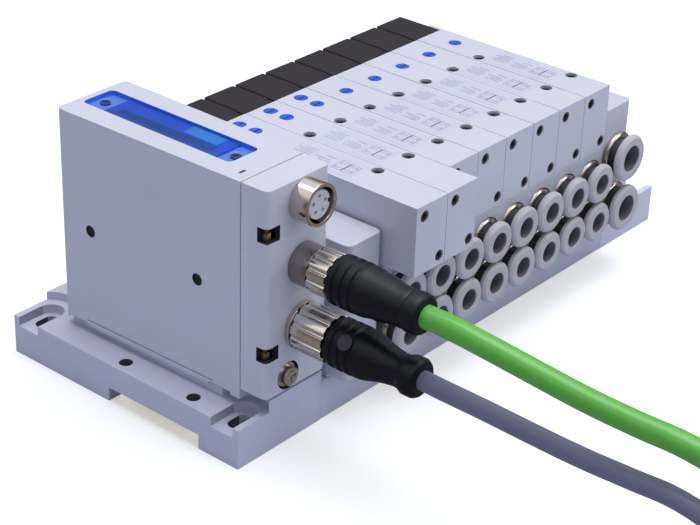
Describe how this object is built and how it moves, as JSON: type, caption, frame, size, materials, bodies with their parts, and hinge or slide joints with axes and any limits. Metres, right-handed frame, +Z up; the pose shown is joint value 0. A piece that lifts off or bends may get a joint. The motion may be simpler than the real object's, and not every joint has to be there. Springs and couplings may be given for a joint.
{
  "type": "pneumatic valve manifold",
  "caption": "Row of solenoid valves on a metal base with push-in tube ports, and a control module with round sockets and two plugged-in leads.",
  "frame": {"origin": "under the middle of the manifold, on the face that it rests on, leads left out", "axes": "+X along the row of valves away from the module, +Y from the port side to the coils, +Z up"},
  "size_m": [0.2608, 0.3318, 0.081],
  "materials": {
    "base_paint": "fine satin paint on die-cast metal",
    "block_paint": "fine satin paint",
    "housing": "fine spark-eroded grain",
    "window": "tinted clear plastic",
    "board": "solder mask",
    "nickel": "bright nickel plating",
    "insert": "moulded",
    "coil": "dark glass-filled plastic",
    "steel": "zinc-plated, dulled",
    "grip": "satin moulded polyurethane",
    "green_sheath": "satin cable sheath",
    "grey_sheath": "satin cable sheath",
    "button": "moulded",
    "ring": "moulded acetal"
  },
  "bodies": {
    "manifold": {"near_end_base": "base_paint", "manifold_base": "base_paint", "far_end_base": "base_paint", "near_block": "block_paint", "far_block": "block_paint", "module_case": "housing", "module_cover": "housing", "display_window": "window", "circuit_board": "board", "m12_sockets": "nickel", "socket_inserts": "insert", "valve_1": "housing", "valve_2": "housing", "valve_3": "housing", "valve_4": "housing", "valve_5": "housing", "valve_6": "housing", "valve_7": "housing", "valve_8": "housing", "end_caps": "housing", "coil_housings": "coil", "screws": "steel", "fitting_bodies": "nickel", "network_plug": "grip", "power_plug": "grip", "network_lead": "green_sheath", "power_lead": "grey_sheath", "network_coil": "green_sheath", "power_coil": "grey_sheath"},
    "button_1": {"button_1": "button"},
    "button_2": {"button_2": "button"},
    "button_3": {"button_3": "button"},
    "button_4": {"button_4": "button"},
    "button_5": {"button_5": "button"},
    "button_6": {"button_6": "button"},
    "button_7": {"button_7": "button"},
    "button_8": {"button_8": "button"},
    "button_1b": {"button_1b": "button"},
    "button_2b": {"button_2b": "button"},
    "button_3b": {"button_3b": "button"},
    "ring_low_1": {"ring_low_1": "ring"},
    "ring_low_2": {"ring_low_2": "ring"},
    "ring_low_3": {"ring_low_3": "ring"},
    "ring_low_4": {"ring_low_4": "ring"},
    "ring_low_5": {"ring_low_5": "ring"},
    "ring_low_6": {"ring_low_6": "ring"},
    "ring_low_7": {"ring_low_7": "ring"},
    "ring_low_8": {"ring_low_8": "ring"},
    "ring_top_1": {"ring_top_1": "ring"},
    "ring_top_2": {"ring_top_2": "ring"},
    "ring_top_3": {"ring_top_3": "ring"},
    "ring_top_4": {"ring_top_4": "ring"},
    "ring_top_5": {"ring_top_5": "ring"},
    "ring_top_6": {"ring_top_6": "ring"},
    "ring_top_7": {"ring_top_7": "ring"},
    "ring_top_8": {"ring_top_8": "ring"},
    "ring_exhaust": {"ring_exhaust": "ring"},
    "ring_supply": {"ring_supply": "ring"},
    "network_nut": {"network_nut": "nickel"},
    "power_nut": {"power_nut": "nickel"}
  },
  "joints": [
    {"name": "button_1_press", "type": "slide", "parent": "manifold", "child": "button_1", "axis": [0, 0, -1], "range_m": [0, 0.0012], "stiffness_N_per_m": 300, "springref_m": -0.002},
    {"name": "button_2_press", "type": "slide", "parent": "manifold", "child": "button_2", "axis": [0, 0, -1], "range_m": [0, 0.0012], "stiffness_N_per_m": 300, "springref_m": -0.002},
    {"name": "button_3_press", "type": "slide", "parent": "manifold", "child": "button_3", "axis": [0, 0, -1], "range_m": [0, 0.0012], "stiffness_N_per_m": 300, "springref_m": -0.002},
    {"name": "button_4_press", "type": "slide", "parent": "manifold", "child": "button_4", "axis": [0, 0, -1], "range_m": [0, 0.0012], "stiffness_N_per_m": 300, "springref_m": -0.002},
    {"name": "button_5_press", "type": "slide", "parent": "manifold", "child": "button_5", "axis": [0, 0, -1], "range_m": [0, 0.0012], "stiffness_N_per_m": 300, "springref_m": -0.002},
    {"name": "button_6_press", "type": "slide", "parent": "manifold", "child": "button_6", "axis": [0, 0, -1], "range_m": [0, 0.0012], "stiffness_N_per_m": 300, "springref_m": -0.002},
    {"name": "button_7_press", "type": "slide", "parent": "manifold", "child": "button_7", "axis": [0, 0, -1], "range_m": [0, 0.0012], "stiffness_N_per_m": 300, "springref_m": -0.002},
    {"name": "button_8_press", "type": "slide", "parent": "manifold", "child": "button_8", "axis": [0, 0, -1], "range_m": [0, 0.0012], "stiffness_N_per_m": 300, "springref_m": -0.002},
    {"name": "button_1b_press", "type": "slide", "parent": "manifold", "child": "button_1b", "axis": [0, 0, -1], "range_m": [0, 0.0012], "stiffness_N_per_m": 300, "springref_m": -0.002},
    {"name": "button_2b_press", "type": "slide", "parent": "manifold", "child": "button_2b", "axis": [0, 0, -1], "range_m": [0, 0.0012], "stiffness_N_per_m": 300, "springref_m": -0.002},
    {"name": "button_3b_press", "type": "slide", "parent": "manifold", "child": "button_3b", "axis": [0, 0, -1], "range_m": [0, 0.0012], "stiffness_N_per_m": 300, "springref_m": -0.002},
    {"name": "ring_low_1_press", "type": "slide", "parent": "manifold", "child": "ring_low_1", "axis": [0, 1, 0], "range_m": [0, 0.0012], "stiffness_N_per_m": 300, "springref_m": -0.002},
    {"name": "ring_low_2_press", "type": "slide", "parent": "manifold", "child": "ring_low_2", "axis": [0, 1, 0], "range_m": [0, 0.0012], "stiffness_N_per_m": 300, "springref_m": -0.002},
    {"name": "ring_low_3_press", "type": "slide", "parent": "manifold", "child": "ring_low_3", "axis": [0, 1, 0], "range_m": [0, 0.0012], "stiffness_N_per_m": 300, "springref_m": -0.002},
    {"name": "ring_low_4_press", "type": "slide", "parent": "manifold", "child": "ring_low_4", "axis": [0, 1, 0], "range_m": [0, 0.0012], "stiffness_N_per_m": 300, "springref_m": -0.002},
    {"name": "ring_low_5_press", "type": "slide", "parent": "manifold", "child": "ring_low_5", "axis": [0, 1, 0], "range_m": [0, 0.0012], "stiffness_N_per_m": 300, "springref_m": -0.002},
    {"name": "ring_low_6_press", "type": "slide", "parent": "manifold", "child": "ring_low_6", "axis": [0, 1, 0], "range_m": [0, 0.0012], "stiffness_N_per_m": 300, "springref_m": -0.002},
    {"name": "ring_low_7_press", "type": "slide", "parent": "manifold", "child": "ring_low_7", "axis": [0, 1, 0], "range_m": [0, 0.0012], "stiffness_N_per_m": 300, "springref_m": -0.002},
    {"name": "ring_low_8_press", "type": "slide", "parent": "manifold", "child": "ring_low_8", "axis": [0, 1, 0], "range_m": [0, 0.0012], "stiffness_N_per_m": 300, "springref_m": -0.002},
    {"name": "ring_top_1_press", "type": "slide", "parent": "manifold", "child": "ring_top_1", "axis": [0, 1, 0], "range_m": [0, 0.0012], "stiffness_N_per_m": 300, "springref_m": -0.002},
    {"name": "ring_top_2_press", "type": "slide", "parent": "manifold", "child": "ring_top_2", "axis": [0, 1, 0], "range_m": [0, 0.0012], "stiffness_N_per_m": 300, "springref_m": -0.002},
    {"name": "ring_top_3_press", "type": "slide", "parent": "manifold", "child": "ring_top_3", "axis": [0, 1, 0], "range_m": [0, 0.0012], "stiffness_N_per_m": 300, "springref_m": -0.002},
    {"name": "ring_top_4_press", "type": "slide", "parent": "manifold", "child": "ring_top_4", "axis": [0, 1, 0], "range_m": [0, 0.0012], "stiffness_N_per_m": 300, "springref_m": -0.002},
    {"name": "ring_top_5_press", "type": "slide", "parent": "manifold", "child": "ring_top_5", "axis": [0, 1, 0], "range_m": [0, 0.0012], "stiffness_N_per_m": 300, "springref_m": -0.002},
    {"name": "ring_top_6_press", "type": "slide", "parent": "manifold", "child": "ring_top_6", "axis": [0, 1, 0], "range_m": [0, 0.0012], "stiffness_N_per_m": 300, "springref_m": -0.002},
    {"name": "ring_top_7_press", "type": "slide", "parent": "manifold", "child": "ring_top_7", "axis": [0, 1, 0], "range_m": [0, 0.0012], "stiffness_N_per_m": 300, "springref_m": -0.002},
    {"name": "ring_top_8_press", "type": "slide", "parent": "manifold", "child": "ring_top_8", "axis": [0, 1, 0], "range_m": [0, 0.0012], "stiffness_N_per_m": 300, "springref_m": -0.002},
    {"name": "ring_exhaust_press", "type": "slide", "parent": "manifold", "child": "ring_exhaust", "axis": [0, 1, 0], "range_m": [0, 0.0012], "stiffness_N_per_m": 300, "springref_m": -0.002},
    {"name": "ring_supply_press", "type": "slide", "parent": "manifold", "child": "ring_supply", "axis": [0, 1, 0], "range_m": [0, 0.0012], "stiffness_N_per_m": 300, "springref_m": -0.002},
    {"name": "network_nut_turn", "type": "hinge", "parent": "manifold", "child": "network_nut", "pos_m": [-0.0795, -0.04835, 0.0557], "axis": [0, -1, 0], "continuous": true},
    {"name": "power_nut_turn", "type": "hinge", "parent": "manifold", "child": "power_nut", "pos_m": [-0.0795, -0.04835, 0.0368], "axis": [0, -1, 0], "continuous": true}
  ]
}
